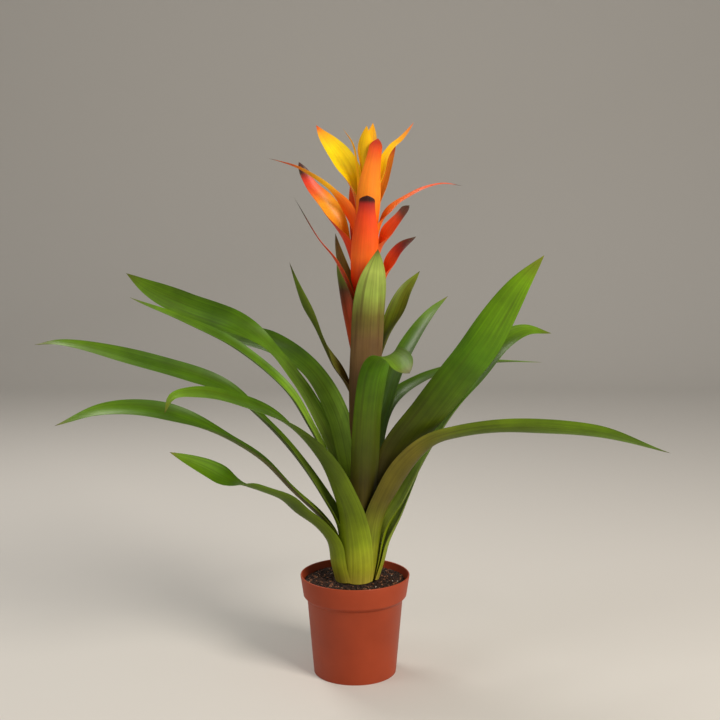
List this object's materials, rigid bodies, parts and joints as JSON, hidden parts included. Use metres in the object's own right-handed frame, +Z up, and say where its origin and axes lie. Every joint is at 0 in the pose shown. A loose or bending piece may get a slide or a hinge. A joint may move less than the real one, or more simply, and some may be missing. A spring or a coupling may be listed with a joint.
{
  "type": "potted bromeliad",
  "caption": "Flowering tank bromeliad with long arching strap leaves and an upright red-to-yellow flower spike, growing in a tapered plastic nursery pot.",
  "frame": {"origin": "centre of the pot's foot, on the surface the pot stands on; the leaves reach equally far to both sides of it", "axes": "+Z up, along the pot's axis; +Y away from the viewer of the picture, +X to the viewer's right, along the leaves' longest spread"},
  "size_m": [0.6706, 0.3385, 0.6],
  "materials": {
    "pot": "satin",
    "potting_mix": "matte",
    "stem": "satin",
    "leaf": "satin",
    "stem_leaf": "satin",
    "bract_red": "satin",
    "bract_orange": "satin",
    "bract_yellow": "satin"
  },
  "bodies": {
    "root": {"flower_bract_01": "bract_red", "flower_bract_02": "bract_red", "flower_bract_03": "bract_red", "flower_bract_04": "bract_red", "flower_bract_05": "bract_red", "flower_bract_06": "bract_red", "flower_bract_07": "bract_red", "flower_bract_08": "bract_orange", "flower_bract_09": "bract_orange", "flower_bract_10": "bract_orange", "flower_bract_11": "bract_orange", "flower_bract_12": "bract_orange", "flower_bract_13": "bract_yellow", "flower_bract_14": "bract_yellow", "flower_bract_15": "bract_yellow", "flower_bract_16": "bract_yellow", "flower_bract_17": "bract_yellow", "flower_bract_18": "bract_yellow", "flower_stem": "stem", "leaf_front_left_hooked": "leaf", "leaf_front_left_low": "leaf", "leaf_front_short": "leaf", "leaf_left_broad": "leaf", "leaf_left_lower": "leaf", "leaf_left_middle": "leaf", "leaf_left_twisted": "leaf", "leaf_left_upper": "leaf", "leaf_rear_erect": "leaf", "leaf_rear_low": "leaf", "leaf_rear_middle": "leaf", "leaf_rear_right_erect": "leaf", "leaf_rear_right_long": "leaf", "leaf_right_long": "leaf", "leaf_right_outer": "leaf", "leaf_right_rear": "leaf", "leaf_right_tall": "leaf", "pot": "pot", "potting_mix": "potting_mix", "stem_leaf_front": "stem_leaf", "stem_leaf_front_left": "stem_leaf", "stem_leaf_left": "stem_leaf", "stem_leaf_rear": "stem_leaf", "stem_leaf_rear_left": "stem_leaf", "stem_leaf_right": "stem_leaf"}
  },
  "joints": []
}
